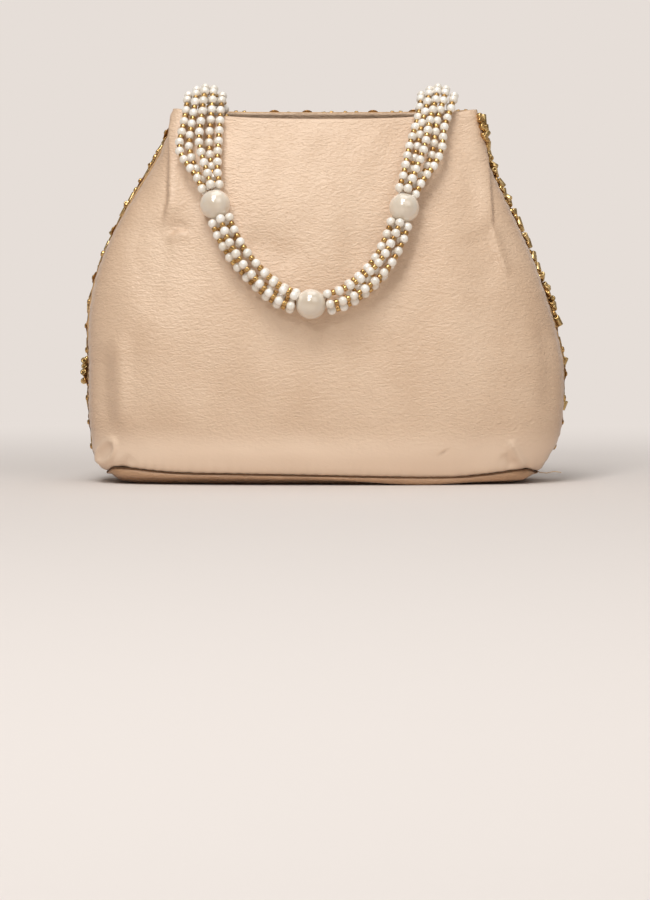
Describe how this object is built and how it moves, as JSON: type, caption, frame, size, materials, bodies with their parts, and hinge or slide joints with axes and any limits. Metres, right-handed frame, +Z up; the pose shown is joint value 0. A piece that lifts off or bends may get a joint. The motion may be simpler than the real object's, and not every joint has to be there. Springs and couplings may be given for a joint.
{
  "type": "potli handbag",
  "caption": "Small pillow-shaped satin potli handbag with a boat-shaped base, bead-edged front and a draped multi-strand pearl bead handle.",
  "frame": {"origin": "middle of the base's flat underside, on the surface the bag stands on", "axes": "+X to the right as seen from the plain back, +Z up; the plain back faces -Y and the beaded front faces +Y"},
  "size_m": [0.2032, 0.0837, 0.1665],
  "materials": {
    "back_satin": "crepe-back satin, beige gold, soft sheen",
    "embroidered_satin": "beige gold satin covered with gold beadwork",
    "base_satin": "crepe-back satin over a stiff board, darker by its seam",
    "lining_cloth": "plain matt lining",
    "board": "grey-brown bag board",
    "pearl": "pearl lacquer, glossy cream white",
    "gold_bead": "gold-lined seed and bugle beads, glossy",
    "sequin": "cupped sequins, antique gold",
    "thread": "matt sewing thread",
    "snap_metal": "light gold plated, polished"
  },
  "bodies": {
    "bag": {"back_panel": "back_satin", "front_panel": "embroidered_satin", "base_panel": "base_satin", "base_board": "board", "lining": "lining_cloth", "back_facing": "back_satin", "front_facing": "back_satin", "snap_stud": "snap_metal", "snap_socket": "snap_metal", "handle_tab_left": "back_satin", "handle_tab_right": "back_satin", "root_strand_left_1": "pearl", "root_strand_left_2": "pearl", "root_strand_left_3": "pearl", "root_strand_left_4": "pearl", "root_strand_left_5": "pearl", "root_strand_right_1": "pearl", "root_strand_right_2": "pearl", "root_strand_right_3": "pearl", "root_strand_right_4": "pearl", "root_strand_right_5": "pearl"},
    "handle": {"large_pearl_left": "pearl", "large_pearl_low": "pearl", "large_pearl_right": "pearl", "upper_strand_left_1": "pearl", "upper_strand_left_2": "pearl", "upper_strand_left_3": "pearl", "upper_strand_left_4": "pearl", "upper_strand_left_5": "pearl", "lower_strand_left_1": "pearl", "lower_strand_left_2": "pearl", "lower_strand_left_3": "pearl", "lower_strand_left_4": "pearl", "lower_strand_left_5": "pearl", "upper_strand_right_1": "pearl", "upper_strand_right_2": "pearl", "upper_strand_right_3": "pearl", "upper_strand_right_4": "pearl", "upper_strand_right_5": "pearl", "lower_strand_right_1": "pearl", "lower_strand_right_2": "pearl", "lower_strand_right_3": "pearl", "lower_strand_right_4": "pearl", "lower_strand_right_5": "pearl"}
  },
  "joints": [
    {"name": "handle_swing", "type": "hinge", "parent": "bag", "child": "handle", "pos_m": [0, -0.0018, 0.1645], "axis": [-1, 0, 0], "range_deg": [0, 158]}
  ]
}
